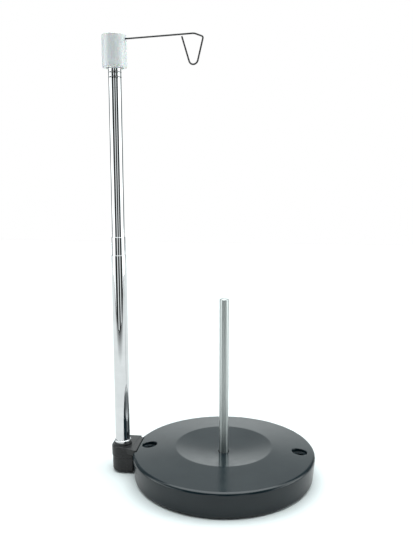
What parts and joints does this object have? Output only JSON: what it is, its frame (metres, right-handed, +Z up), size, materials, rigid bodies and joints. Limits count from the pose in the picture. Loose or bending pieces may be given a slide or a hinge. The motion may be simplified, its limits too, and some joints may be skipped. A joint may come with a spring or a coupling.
{
  "type": "thread spool stand",
  "caption": "Table stand for a thread cone: heavy round base with a spool pin, and a telescopic mast whose turning cap carries a wire thread guide.",
  "frame": {"origin": "on the table, on the axis of the spool pin", "axes": "+Z up along the spool pin, the mast stands at -X, and the wire guide points towards +X at rest"},
  "size_m": [0.1356, 0.12, 0.281],
  "materials": {
    "base_paint": "gloss black enamel on cast iron",
    "bracket_paint": "satin black paint on a die casting",
    "pad": "matt black rubber sheet",
    "pin_steel": "fine ground steel rod",
    "chrome": "bright chrome plate",
    "zinc": "zinc plated steel",
    "brass": "turned brass",
    "cap_plastic": "glossy white moulding",
    "guide_steel": "dark drawn spring steel wire"
  },
  "bodies": {
    "base": {"base_casting": "base_paint", "base_pad": "pad", "spool_pin": "pin_steel", "pin_washer": "zinc", "pin_nut": "zinc", "mast_bracket": "bracket_paint", "bracket_screw": "zinc", "bracket_washer": "zinc", "tube_collar": "chrome", "outer_tube": "chrome", "foot_plug": "brass", "foot_screw": "zinc", "foot_washer": "zinc"},
    "middle_stage": {"middle_tube": "chrome", "middle_bush": "brass"},
    "top_stage": {"top_tube": "chrome", "top_bush": "brass", "tube_top_plug": "brass"},
    "thread_guide": {"guide_cap": "cap_plastic", "guide_wire": "guide_steel"}
  },
  "joints": [
    {"name": "middle_slide", "type": "slide", "parent": "base", "child": "middle_stage", "axis": [0, 0, 1], "range_m": [-0.011, 0.115]},
    {"name": "top_slide", "type": "slide", "parent": "middle_stage", "child": "top_stage", "axis": [0, 0, 1], "range_m": [-0.11, 0.01]},
    {"name": "guide_swivel", "type": "hinge", "parent": "top_stage", "child": "thread_guide", "pos_m": [-0.0679, 0, 0.27], "axis": [0, 0, 1], "continuous": true}
  ]
}
